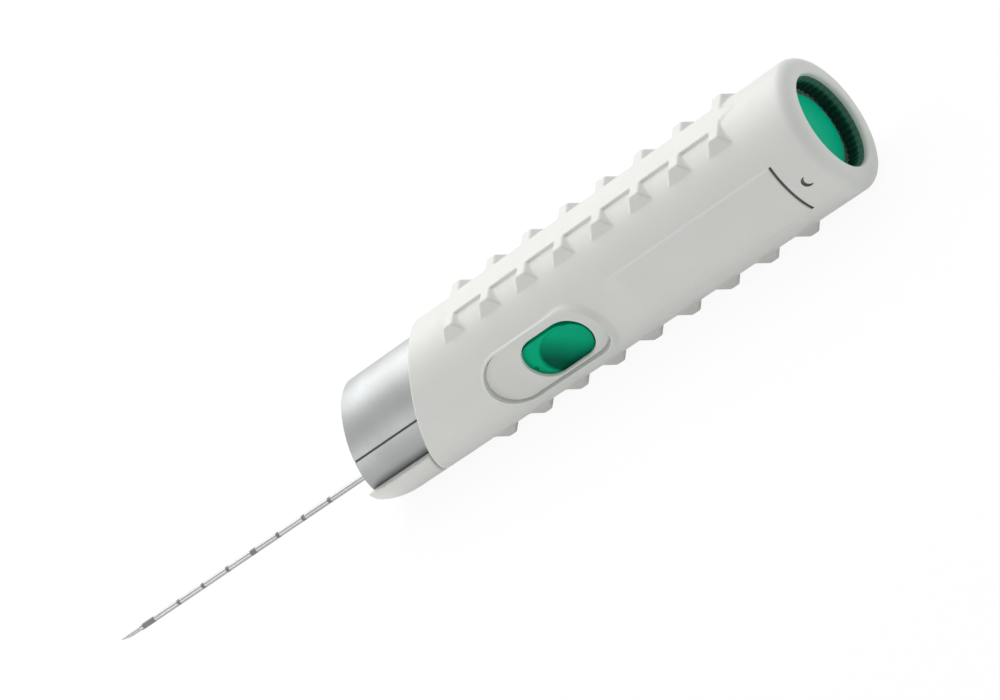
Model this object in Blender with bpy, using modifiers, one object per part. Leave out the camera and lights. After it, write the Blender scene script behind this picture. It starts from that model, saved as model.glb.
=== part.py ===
"""Core biopsy instrument: a round spring-driven grip, a turning nose sleeve and a needle.

The barrel axis lies along X. Places along it are measured from the nose plane, where the
sleeve's front edge crosses the axis: the needle runs to -X and the end button faces +X.
The thumb trigger faces -Y, and the two tread bands lie at +Z and -Z. The rest pose is the
fired one: both carriages are forward and both drive springs are long.
"""
import math

import bmesh
import bpy
from mathutils import Matrix

# Running clearance between neighbours, and the smaller one round slim steel pieces
GAP = 0.0003
SLIM_GAP = 0.00015
COIL_GAP = 0.0004

# How far a cut runs past the face that it opens, and a joined block into what carries it
PAST = 0.001

# Grip barrel
BARREL_R = 0.0173
BARREL_WALL = 0.0041
RIM_X = 0.0223
RIM_SLOPE = 0.56
LIP_DEPTH = 0.0058
LIP_STEP = 0.0019
LIP_OUTER_FILLET = 0.003
LIP_INNER_FILLET = 0.0015

# Tread bands: a flat-topped spine with tapered cross teeth
TREAD_RISE = 0.0002
TREAD_REAR_MARGIN = 0.016
SPINE_HALF_WIDTH = 0.0043
TOOTH_ROOT = 0.0004
TOOTH_PITCH = 0.0122
FIRST_TOOTH_X = 0.0347
TOOTH_CREST_HALF = 0.0013
TOOTH_CREST_REACH = 0.0083
TOOTH_FLANK = 0.76
TOOTH_END_DRAFT = 0.38

# Thumb recess with its raised rim, the window, the raised label pad and the small dimple
RECESS_X = 0.0641
RECESS_Z = -0.0004
RECESS_HALF_LENGTH = 0.0178
RECESS_HALF_WIDTH = 0.008
RECESS_DEPTH = 0.0026
RECESS_RIM_WIDTH = 0.0015
RECESS_RIM_RISE = 0.0003
WINDOW_X = 0.06685
WINDOW_Z = -0.0012
WINDOW_HALF_LENGTH = 0.00985
WINDOW_HALF_WIDTH = 0.0062
WINDOW_WALL = 0.0009
PAD_FRONT_X = 0.0895
PAD_REAR_MARGIN = 0.012
PAD_HALF_WIDTH = 0.0074
PAD_RISE = 0.0004
DIMPLE_R = 0.0011
DIMPLE_HALF_LENGTH = 0.00143
DIMPLE_DEPTH = 0.0005
DIMPLE_REAR_MARGIN = 0.0076

# Nose: metal sleeve, fixed cradle under it, needle bush
NOSE_SLOPE = 0.349
CRADLE_WALL = 0.00215
CRADLE_EDGE_Z = -0.005
CRADLE_ROUND_LENGTH = 0.0122
CRADLE_ROUND_DROP = 0.006
CRADLE_FULL_X = 0.0043
CRADLE_LEAD = 0.0012
WEB_HALF_WIDTH = 0.0045
WEB_LEAD = 0.0019
WEB_WALL = 0.0011
PLUG_REAR_X = 0.0075
PLUG_RECESS = 0.0012
PLUG_GAP = 0.00045
SPIGOT_LENGTH = 0.0035
SLEEVE_WALL = 0.0012
SLEEVE_REAR_X = 0.0425
SLEEVE_FRONT_GAP = 0.0005
THRUST_RING_LENGTH = 0.0022
CAM_WALL = 0.00175
CAM_FRONT_X = 0.0126
CAM_MARGIN = 0.0045
CAM_SLOT_MARGIN = 0.0007
CAM_SLOT_OVERRUN = 0.09
BUSH_R = 0.0022
BUSH_LENGTH = 0.008
BUSH_FLOOR = 0.001

# Coaxial needle
NEEDLE_REACH = 0.1087
CANNULA_R = 0.00082
CANNULA_BORE_R = 0.00067
STYLET_R = 0.00058
STYLET_LEAD = 0.0082
POINT_LENGTH = 0.0048
NOTCH_LEAD = 0.0012
NOTCH_LENGTH = 0.0185
NOTCH_DEPTH = 0.0005
NEEDLE_SET_BACK = 0.001

# Motions
THROW = 0.022
TRIGGER_TRAVEL = 0.003
SLEEVE_TURN = math.radians(90.0)

# Chassis, rods, carriages and drive springs
CHASSIS_ROOM = 0.0023
CHASSIS_WALL = 0.0012
BULKHEAD_X = 0.0475
BULKHEAD_T = 0.002
REAR_WALL_T = 0.0025
ROD_R = 0.00125
ROD_Z = -0.001
ROD_SET_IN = 0.0003
SPRING_R = 0.0026
SPRING_WIRE_R = 0.0004
CANNULA_SPRING_TURNS = 17
STYLET_SPRING_TURNS = 11
CARRIAGE_LENGTH = 0.008
CARRIAGE_SIDE_ROOM = 0.0011
CARRIAGE_HALF_HEIGHT = 0.0024
KEEL_HALF_WIDTH = 0.0036
KEEL_WALL = 0.0009
KEEL_ROOM = 0.001
KEEL_SET_IN = 0.0001
HUB_R = 0.0026
HUB_NOSE = 0.0013
HUB_NOSE_R = 0.0018
STOP_RING_T = 0.0013
FRONT_STOP_T = 0.0019
SEAT_TOP = 0.0036
LATCH_T = 0.0008
LATCH_Y = 0.0024
LATCH_HALF_WIDTH = 0.0012
LATCH_SET_BACK = 0.001
HOOK_RISE = 0.0015
HOOK_LENGTH = 0.0015
HOOK_CREST = 0.00045
LATCH_REACH = 0.011
LATCH_PLATE_T = 0.002

# Cocking pusher, its follower pin and its pawls
PUSHER_HALF_WIDTH = 0.0022
PUSHER_ROOM = 0.0025
PUSHER_T = 0.0019
PUSHER_FRONT_X = 0.013
PUSHER_LENGTH = 0.067
PIN_R = 0.0012
PIN_SET_BACK = 0.0025
PAWL_LENGTH = 0.0085
PAWL_SET_BACK = 0.001
PAWL_NOSE = 0.0015
PAWL_ROOM = 0.0006
PAWL_T = 0.0006
PAWL_HALF_WIDTH = 0.0016

# Trigger: end button, bar, blade, thumb button and return spring
BUTTON_ROOM = 0.0012
BUTTON_WALL = 0.0016
BUTTON_LENGTH = 0.0105
BUTTON_CHAMFER = 0.0004
BUTTON_SINK = 0.005
LUG_LENGTH = 0.003
LUG_REACH = 0.0018
LUG_ROOT = 0.0005
LUG_HALF_WIDTH = 0.0015
GUIDE_RING_T = 0.002
BAR_T = 0.0011
BAR_HALF_WIDTH = 0.0035
BAR_GAP = 0.0004
FINGER_HALF_WIDTH = 0.002
FINGER_T = 0.0014
FINGER_POCKET_DEPTH = 0.0011
BLADE_T = 0.0012
BLADE_HALF_HEIGHT = 0.0016
BLADE_OVERHANG = 0.0008
BLADE_ROOM = 0.0015
THUMB_T = 0.0019
THUMB_MARGIN = 0.0013
THUMB_HALF_WIDTH = 0.0069
DISH_HALF_LENGTH = 0.0085
DISH_HALF_WIDTH = 0.0053
DISH_DEPTH = 0.0013
DISH_X = 0.071
RETURN_SPRING_ROOM = 0.00065
RETURN_WIRE_R = 0.00035
RETURN_TURNS = 3.5
SLEEVE_SPRING_ROOM = 0.00145
SLEEVE_SPRING_TURNS = 3.0

# Facets round a turned piece
FINE = 64
MEDIUM = 40
COARSE = 24
SMALL = 16

# What follows from the sizes above
TREAD_TOP = BARREL_R + TREAD_RISE
BORE_R = BARREL_R - BARREL_WALL
LIP_HOLE_R = BORE_R - LIP_STEP
BUTTON_R = LIP_HOLE_R - BUTTON_ROOM
RETURN_SPRING_R = BUTTON_R + RETURN_SPRING_ROOM
FRONT_BORE_R = BARREL_R - CRADLE_WALL
SLEEVE_R = FRONT_BORE_R - GAP
SLEEVE_BORE_R = SLEEVE_R - SLEEVE_WALL
SLEEVE_SPRING_R = SLEEVE_BORE_R - SLEEVE_SPRING_ROOM
CAM_R = SLEEVE_BORE_R - GAP
CAM_BORE_R = CAM_R - CAM_WALL
NEEDLE_Z = -(BORE_R - KEEL_ROOM - KEEL_WALL - GAP - HUB_R)
CHASSIS_R = BORE_R - CHASSIS_ROOM
CHASSIS_BORE_R = CHASSIS_R - CHASSIS_WALL
CARRIAGE_HALF_WIDTH = CHASSIS_BORE_R - CARRIAGE_SIDE_ROOM
COIL_R = SPRING_R + SPRING_WIRE_R
ROD_Y = CHASSIS_BORE_R - COIL_R - COIL_GAP
THRUST_RING_X = SLEEVE_REAR_X + GAP
BORE_STEP_X = THRUST_RING_X + THRUST_RING_LENGTH + GAP
FRONT_STOP_X = BULKHEAD_X + BULKHEAD_T + GAP
CANNULA_X = FRONT_STOP_X + FRONT_STOP_T + GAP
STYLET_STOP_X = CANNULA_X + CARRIAGE_LENGTH + THROW + GAP
STYLET_X = STYLET_STOP_X + STOP_RING_T + GAP
HOOK_X = STYLET_X + CARRIAGE_LENGTH + LATCH_REACH - HOOK_LENGTH
LATCH_PLATE_X = HOOK_X + THROW - LATCH_PLATE_T - GAP
BLADE_X = HOOK_X + HOOK_LENGTH + THROW + GAP + TRIGGER_TRAVEL
REAR_WALL_X = BLADE_X + BLADE_T + BLADE_ROOM
GUIDE_RING_X = REAR_WALL_X + REAR_WALL_T + GAP
BUTTON_FRONT_X = GUIDE_RING_X + TRIGGER_TRAVEL + GAP
BUTTON_REAR_X = BUTTON_FRONT_X + BUTTON_LENGTH
REAR_X = BUTTON_REAR_X + BUTTON_SINK
LUG_REAR_X = REAR_X - LIP_DEPTH - GAP
LATCH_Z = SEAT_TOP + GAP
PUSHER_LOW = CHASSIS_BORE_R - PUSHER_ROOM
PUSHER_TOP = PUSHER_LOW + PUSHER_T
PAWL_DROP = PUSHER_LOW - GAP - LATCH_Z - LATCH_T - PAWL_ROOM
PIN_X = PUSHER_FRONT_X + PIN_SET_BACK
CAM_REAR_X = PIN_X + THROW + CAM_MARGIN
RECESS_FLOOR_Y = -(BARREL_R - RECESS_DEPTH)
THUMB_TOP_Y = RECESS_FLOOR_Y + WINDOW_WALL + GAP
THUMB_FRONT_X = WINDOW_X - WINDOW_HALF_LENGTH - THUMB_MARGIN
THUMB_REAR_X = WINDOW_X + WINDOW_HALF_LENGTH + THUMB_MARGIN + TRIGGER_TRAVEL
BAR_INNER_Y = -(CHASSIS_R + BAR_GAP)
BAR_OUTER_Y = BAR_INNER_Y - BAR_T
FINGER_REAR_X = LUG_REAR_X - LUG_LENGTH + FINGER_T
FINGER_POCKET_Y = FINGER_POCKET_DEPTH - BUTTON_R
MIDDLE_X = 0.5 * (REAR_X - NEEDLE_REACH)

for leftover in list(bpy.data.objects):
    bpy.data.objects.remove(leftover, do_unlink=True)

PARTS = bpy.data.collections.new("core_biopsy_instrument")
TOOLS = bpy.data.collections.new("cutters")
bpy.context.scene.collection.children.link(PARTS)
bpy.context.scene.collection.children.link(TOOLS)
FRAME = bpy.data.objects.new("instrument_frame", None)
PARTS.objects.link(FRAME)
FRAME.location = (-MIDDLE_X, 0.0, TREAD_TOP)


def material(name, colour, roughness, metallic=0.0):
    """A Principled finish with one colour."""
    finish = bpy.data.materials.new(name)
    finish.use_nodes = True
    shader = finish.node_tree.nodes["Principled BSDF"]
    shader.inputs["Base Color"].default_value = (*colour, 1.0)
    shader.inputs["Roughness"].default_value = roughness
    shader.inputs["Metallic"].default_value = metallic
    finish.diffuse_color = (*colour, 1.0)
    return finish


def place(name, data, finish=None, y=0.0, z=0.0):
    """Adds a sub-part, or a cutter where no finish is given, on the instrument's frame."""
    item = bpy.data.objects.new(name, data)
    item.parent = FRAME
    item.location = (0.0, y, z)
    if finish is None:
        TOOLS.objects.link(item)
        item.hide_render = True
        item.display_type = "WIRE"
    else:
        PARTS.objects.link(item)
        data.materials.append(finish)
    return item


def mesh_from(name, bm):
    """Turns a finished bmesh into mesh data."""
    data = bpy.data.meshes.new(name)
    bm.to_mesh(data)
    bm.free()
    return data


def box(name, x, y, z, finish=None):
    """A box between the pairs of limits x, y and z."""
    bm = bmesh.new()
    bmesh.ops.create_cube(bm, size=1.0)
    for vertex in bm.verts:
        for axis, (low, high) in enumerate((x, y, z)):
            vertex.co[axis] = low + (vertex.co[axis] + 0.5) * (high - low)
    return place(name, mesh_from(name, bm), finish)


def rod(name, radius, x, y=0.0, z=0.0, finish=None, sides=SMALL):
    """A round bar along X between the limits x."""
    bm = bmesh.new()
    along = Matrix.Translation((0.5 * (x[0] + x[1]), 0.0, 0.0)) @ Matrix.Rotation(math.pi / 2, 4, "Y")
    bmesh.ops.create_cone(
        bm, cap_ends=True, segments=sides, radius1=radius, radius2=radius, depth=x[1] - x[0], matrix=along
    )
    return place(name, mesh_from(name, bm), finish, y, z)


def slot_tool(name, x, half_length, half_width, y, z=0.0):
    """A cutter with round ends, from a drum along Y whose halves are drawn apart along X."""
    bm = bmesh.new()
    across = Matrix.Translation((0.0, 0.5 * (y[0] + y[1]), 0.0)) @ Matrix.Rotation(math.pi / 2, 4, "X")
    depth = y[1] - y[0]
    bmesh.ops.create_cone(
        bm, cap_ends=True, segments=30, radius1=half_width, radius2=half_width, depth=depth, matrix=across
    )
    for vertex in bm.verts:
        vertex.co.x += x + math.copysign(half_length - half_width, vertex.co.x)
    return place(name, mesh_from(name, bm), z=z)


def turned(name, profile, finish=None, y=0.0, z=0.0, steps=MEDIUM, closed=True):
    """A turned piece from (x, radius) points that run to -X along its outer side."""
    data = bpy.data.meshes.new(name)
    points = [(radius, 0.0, x) for x, radius in profile]
    edges = [(i, i + 1) for i in range(len(points) - 1)]
    if closed:
        edges.append((len(points) - 1, 0))
    data.from_pydata(points, edges, [])
    item = place(name, data, finish, y, z)
    item.rotation_euler = (0.0, math.pi / 2, 0.0)
    screw = item.modifiers.new("turn", "SCREW")
    screw.steps = steps
    screw.render_steps = steps
    screw.use_merge_vertices = True
    screw.merge_threshold = 0.000001
    return item


def tube(name, outer, inner, x, finish=None, y=0.0, z=0.0, steps=MEDIUM):
    """A plain round tube between the limits x."""
    profile = [(x[1], outer), (x[0], outer), (x[0], inner), (x[1], inner)]
    return turned(name, profile, finish, y, z, steps)


def arc(x, radius, size, start, stop, count=5):
    """Points on a quarter round about (x, radius), by angles from +X toward the outside."""
    angles = [math.radians(start + (stop - start) * i / count) for i in range(count + 1)]
    return [(x + size * math.cos(a), radius + size * math.sin(a)) for a in angles]


def slant_tool(name, x, slope, side, size=0.25):
    """A cutter filling one side of the slanting plane X = x + slope * Z."""
    bm = bmesh.new()
    bmesh.ops.create_cube(bm, size=size)
    turn = Matrix.Rotation(math.atan(slope), 4, "Y")
    aside = Matrix.Translation((0.5 * side * size, 0.0, 0.0))
    bm.transform(Matrix.Translation((x, 0.0, 0.0)) @ turn @ aside)
    return place(name, mesh_from(name, bm))


def combine(target, tool, operation="DIFFERENCE"):
    """Cuts the tool from the target, or joins or intersects the two."""
    step = target.modifiers.new(tool.name, "BOOLEAN")
    step.operation = operation
    step.solver = "EXACT"
    step.object = tool


def coil(name, radius, wire, turns, x, finish, y=0.0, z=0.0, points_per_turn=12):
    """A round-wire spring along X between the centres of its end turns."""
    count = round(turns * points_per_turn)
    curve = bpy.data.curves.new(name, "CURVE")
    curve.dimensions = "3D"
    curve.bevel_depth = wire
    curve.bevel_resolution = 1
    curve.use_fill_caps = True
    spline = curve.splines.new("POLY")
    spline.points.add(count)
    for i, point in enumerate(spline.points):
        angle = 2.0 * math.pi * turns * i / count
        along = x[0] + (x[1] - x[0]) * i / count
        point.co = (along, radius * math.cos(angle), radius * math.sin(angle), 1.0)
    return place(name, curve, finish, y, z)


def strip(name, outline, y, half_width, finish):
    """A flat outline of (x, z) points, made solid across Y."""
    curve = bpy.data.curves.new(name, "CURVE")
    curve.dimensions = "2D"
    curve.fill_mode = "BOTH"
    curve.extrude = half_width
    spline = curve.splines.new("POLY")
    spline.points.add(len(outline) - 1)
    spline.use_cyclic_u = True
    for point, (x, z) in zip(spline.points, outline):
        point.co = (x, z, 0.0, 1.0)
    item = place(name, curve, finish, y)
    item.rotation_euler = (math.pi / 2, 0.0, 0.0)
    return item


def make_teeth():
    """Both rows of tapered cross teeth, as one group of separate blocks."""
    bm = bmesh.new()
    last = math.floor((REAR_X - TREAD_REAR_MARGIN - FIRST_TOOTH_X) / TOOTH_PITCH)
    foot = BORE_R + TOOTH_ROOT
    drop = TREAD_TOP - foot
    for side in (-1, 1):
        first = 0 if side < 0 else 1
        for index in range(first, last + 1):
            block = bmesh.ops.create_cube(bm, size=2.0)["verts"]
            for vertex in block:
                crest = vertex.co.z * side > 0
                reach_x = TOOTH_CREST_HALF + (0.0 if crest else TOOTH_FLANK * drop)
                reach_y = TOOTH_CREST_REACH + (0.0 if crest else TOOTH_END_DRAFT * drop)
                vertex.co.x = FIRST_TOOTH_X + index * TOOTH_PITCH + vertex.co.x * reach_x
                vertex.co.y *= reach_y
                vertex.co.z = side * (TREAD_TOP if crest else foot)
    return place("tread_teeth", mesh_from("tread_teeth", bm)), last


def make_barrel(finish):
    """The grip: a one-piece moulded tube with its treads, recess, window, label pad and rear lip."""
    front = RIM_X - RIM_SLOPE * BARREL_R - PAST
    fillet_x = REAR_X - LIP_OUTER_FILLET
    outside = [(REAR_X, 0.0)]
    outside += arc(fillet_x, BARREL_R - LIP_OUTER_FILLET, LIP_OUTER_FILLET, 0, 90)
    outside += [(front, BARREL_R), (front, 0.0)]
    barrel = turned("grip_barrel", outside, finish, steps=FINE, closed=False)

    teeth, last = make_teeth()
    band_end = FIRST_TOOTH_X + last * TOOTH_PITCH
    spine_low = FRONT_BORE_R + GAP
    for side, first in ((-1, 0), (1, 1)):
        height = sorted((side * spine_low, side * TREAD_TOP))
        span = (FIRST_TOOTH_X + first * TOOTH_PITCH, band_end)
        spine = box("spine_%d" % (first + 1), span, (-SPINE_HALF_WIDTH, SPINE_HALF_WIDTH), height)
        combine(barrel, spine, "UNION")
    combine(barrel, teeth, "UNION")

    front_half_y = (-2.0 * BARREL_R, -0.5 * BORE_R)
    pad_x = (PAD_FRONT_X, REAR_X - PAD_REAR_MARGIN)
    pad = box("label_pad", pad_x, front_half_y, (-PAD_HALF_WIDTH, PAD_HALF_WIDTH))
    combine(pad, rod("label_pad_round", BARREL_R + PAD_RISE, (0.0, REAR_X), sides=FINE), "INTERSECT")
    combine(barrel, pad, "UNION")
    rim_half_length = RECESS_HALF_LENGTH + RECESS_RIM_WIDTH
    rim_half_width = RECESS_HALF_WIDTH + RECESS_RIM_WIDTH
    rim = slot_tool("recess_rim", RECESS_X, rim_half_length, rim_half_width, front_half_y, RECESS_Z)
    combine(rim, rod("recess_rim_round", BARREL_R + RECESS_RIM_RISE, (0.0, REAR_X), sides=FINE), "INTERSECT")
    combine(barrel, rim, "UNION")

    beyond = REAR_X + PAST
    bore = [(beyond, 0.0), (beyond, LIP_HOLE_R + LIP_INNER_FILLET)]
    bore += arc(REAR_X - LIP_INNER_FILLET, LIP_HOLE_R + LIP_INNER_FILLET, LIP_INNER_FILLET, 0, -90, 3)
    bore += [(REAR_X - LIP_DEPTH, LIP_HOLE_R), (REAR_X - LIP_DEPTH, BORE_R), (BORE_STEP_X, BORE_R)]
    bore += [(BORE_STEP_X, FRONT_BORE_R), (front - PAST, FRONT_BORE_R), (front - PAST, 0.0)]
    combine(barrel, turned("barrel_bore", bore, steps=FINE, closed=False))
    combine(barrel, slant_tool("barrel_rim", RIM_X, RIM_SLOPE, -1))

    outside_y = -BARREL_R - PAD_RISE - PAST
    inside_y = -0.5 * BORE_R
    recess_y = (outside_y, RECESS_FLOOR_Y)
    recess = slot_tool("thumb_recess", RECESS_X, RECESS_HALF_LENGTH, RECESS_HALF_WIDTH, recess_y, RECESS_Z)
    combine(barrel, recess)
    pocket_x = (THUMB_FRONT_X - TRIGGER_TRAVEL - GAP, THUMB_REAR_X + GAP)
    pocket_z = (WINDOW_Z - THUMB_HALF_WIDTH - GAP, WINDOW_Z + THUMB_HALF_WIDTH + GAP)
    combine(barrel, box("thumb_pocket", pocket_x, (THUMB_TOP_Y - GAP, inside_y), pocket_z))
    window_y = (outside_y, inside_y)
    window = slot_tool("thumb_window", WINDOW_X, WINDOW_HALF_LENGTH, WINDOW_HALF_WIDTH, window_y, WINDOW_Z)
    combine(barrel, window)

    dimple_y = (outside_y, DIMPLE_DEPTH - BARREL_R)
    dimple_x = REAR_X - DIMPLE_REAR_MARGIN
    combine(barrel, slot_tool("dimple", dimple_x, DIMPLE_HALF_LENGTH, DIMPLE_R, dimple_y))
    return barrel


def nose_outline():
    """The cradle's outer shape, an elliptic round that runs into the barrel's radius."""
    points = [(RIM_X, 0.0), (RIM_X, BARREL_R)]
    for degrees in range(0, 90, 10):
        angle = math.radians(degrees)
        x = CRADLE_FULL_X - CRADLE_ROUND_LENGTH * math.sin(angle)
        points.append((x, BARREL_R - CRADLE_ROUND_DROP * (1.0 - math.cos(angle))))
    points.append((points[-1][0], 0.0))
    return points


def make_cradle(finish):
    """The fixed nose moulding: a shoe under the sleeve, a front web and the plug that it carries."""
    shoe = turned("nose_cradle", nose_outline(), finish, steps=FINE, closed=False)
    reach = 2.0 * BARREL_R
    long = (-reach, 2.0 * reach)
    combine(shoe, slant_tool("shoe_rear", RIM_X - GAP, RIM_SLOPE, 1))
    combine(shoe, slant_tool("shoe_front", -CRADLE_LEAD, NOSE_SLOPE, -1))
    combine(shoe, box("shoe_edge", long, (-reach, reach), (CRADLE_EDGE_Z, reach)))
    room = [(long[1], 0.0), (long[1], FRONT_BORE_R), (long[0], FRONT_BORE_R), (long[0], 0.0)]
    combine(shoe, turned("sleeve_room", room, steps=FINE, closed=False))

    web_r = FRONT_BORE_R + WEB_WALL
    web_sides = [(CRADLE_FULL_X, 0.0), (CRADLE_FULL_X, web_r), (-reach, web_r), (-reach, 0.0)]
    web = turned("front_web", web_sides, steps=FINE, closed=False)
    web_x = (-reach, CRADLE_FULL_X)
    web_y = (-WEB_HALF_WIDTH, WEB_HALF_WIDTH)
    web_z = (-reach, NEEDLE_Z + BUSH_R)
    combine(web, box("web_span", web_x, web_y, web_z), "INTERSECT")
    combine(web, slant_tool("web_front", -GAP - WEB_LEAD, NOSE_SLOPE, -1))
    sleeve_way = tube("sleeve_way", FRONT_BORE_R + GAP, SLEEVE_BORE_R - GAP, long, steps=FINE)
    combine(sleeve_way, slant_tool("sleeve_way_front", -SLEEVE_FRONT_GAP, NOSE_SLOPE, -1))
    combine(web, sleeve_way)
    combine(shoe, web, "UNION")

    plug_r = SLEEVE_BORE_R - PLUG_GAP
    spigot_r = CHASSIS_BORE_R - GAP
    spigot_x = PLUG_REAR_X + SPIGOT_LENGTH
    sides = [(spigot_x, 0.0), (spigot_x, spigot_r), (PLUG_REAR_X, spigot_r), (PLUG_REAR_X, plug_r)]
    plug = turned("nose_plug", sides + [(-reach, plug_r), (-reach, 0.0)], steps=MEDIUM, closed=False)
    combine(plug, slant_tool("plug_front", PLUG_RECESS, NOSE_SLOPE, -1))
    combine(shoe, plug, "UNION")
    bush_way = (-reach, PLUG_REAR_X - BUSH_FLOOR)
    combine(shoe, rod("bush_hole", BUSH_R + GAP, bush_way, z=NEEDLE_Z, sides=COARSE))
    combine(shoe, rod("plug_needle_hole", CANNULA_R + GAP, (-reach, 2 * spigot_x), z=NEEDLE_Z))
    return shoe


def make_needle(steel, bright):
    """The bush, the cannula tube and the pointed, notched stylet inside it."""
    bush_rear = PLUG_REAR_X - BUSH_FLOOR - GAP
    bush_x = (bush_rear - BUSH_LENGTH, bush_rear)
    tube("needle_bush", BUSH_R, CANNULA_R + SLIM_GAP, bush_x, bright, z=NEEDLE_Z, steps=COARSE)
    cannula_x = (STYLET_LEAD - NEEDLE_REACH, CANNULA_X + CARRIAGE_LENGTH - NEEDLE_SET_BACK)
    tube("cannula_tube", CANNULA_R, CANNULA_BORE_R, cannula_x, steel, z=NEEDLE_Z, steps=SMALL)

    tip = -NEEDLE_REACH
    stylet_x = (tip, STYLET_X + CARRIAGE_LENGTH - NEEDLE_SET_BACK)
    stylet = rod("stylet", STYLET_R, stylet_x, z=NEEDLE_Z, finish=bright)
    point_slope = -POINT_LENGTH / (2.0 * STYLET_R)
    point_x = tip - point_slope * (NEEDLE_Z + STYLET_R)
    combine(stylet, slant_tool("stylet_point", point_x, point_slope, -1))
    notch_start = tip + STYLET_LEAD + NOTCH_LEAD
    notch_z = (NEEDLE_Z + STYLET_R - NOTCH_DEPTH, NEEDLE_Z + 2.0 * STYLET_R)
    notch_y = (-2.0 * STYLET_R, 2.0 * STYLET_R)
    combine(stylet, box("stylet_notch", (notch_start, notch_start + NOTCH_LENGTH), notch_y, notch_z))


def make_sleeve(metal, plastic, wire):
    """The turning nose sleeve, its cam ring, its thrust ring and its return spring."""
    sleeve = tube("nose_sleeve", SLEEVE_R, SLEEVE_BORE_R, (-SLEEVE_R, SLEEVE_REAR_X), metal, steps=FINE)
    combine(sleeve, slant_tool("sleeve_front", 0.0, NOSE_SLOPE, -1))
    ring_x = (THRUST_RING_X, THRUST_RING_X + THRUST_RING_LENGTH)
    tube("sleeve_thrust_ring", SLEEVE_R, SLEEVE_BORE_R, ring_x, plastic, steps=MEDIUM)

    cam = tube("cam_ring", CAM_R, CAM_BORE_R, (CAM_FRONT_X, CAM_REAR_X), plastic, steps=MEDIUM)
    combine(cam, cam_slot_tool())
    spring_x = (PLUG_REAR_X + GAP + 2 * SPRING_WIRE_R, CAM_FRONT_X - GAP - SPRING_WIRE_R)
    coil("sleeve_return_spring", SLEEVE_SPRING_R, SPRING_WIRE_R, SLEEVE_SPRING_TURNS, spring_x, wire)


def cam_slot_tool():
    """The helical slot's cutter: a round sweep that moves the follower pin by the throw."""
    path = bpy.data.curves.new("cam_slot_path", "CURVE")
    path.dimensions = "3D"
    path.bevel_depth = PIN_R + CAM_SLOT_MARGIN
    path.bevel_resolution = 3
    path.use_fill_caps = True
    spline = path.splines.new("POLY")
    count = 20
    spline.points.add(count)
    radius = 0.5 * (CAM_R + CAM_BORE_R)
    for i, point in enumerate(spline.points):
        share = (1.0 + 2.0 * CAM_SLOT_OVERRUN) * i / count - CAM_SLOT_OVERRUN
        angle = math.pi / 2 - share * SLEEVE_TURN
        place_x = PIN_X + share * THROW
        point.co = (place_x, radius * math.cos(angle), radius * math.sin(angle), 1.0)
    sweep = place("cam_slot_sweep", path)
    bpy.context.view_layer.update()
    evaluated = sweep.evaluated_get(bpy.context.evaluated_depsgraph_get())
    data = bpy.data.meshes.new_from_object(evaluated)
    bm = bmesh.new()
    bm.from_mesh(data)
    bmesh.ops.remove_doubles(bm, verts=bm.verts, dist=0.00001)
    bm.to_mesh(data)
    bm.free()
    tool = place("cam_slot", data)
    bpy.data.objects.remove(sweep)
    return tool


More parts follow.
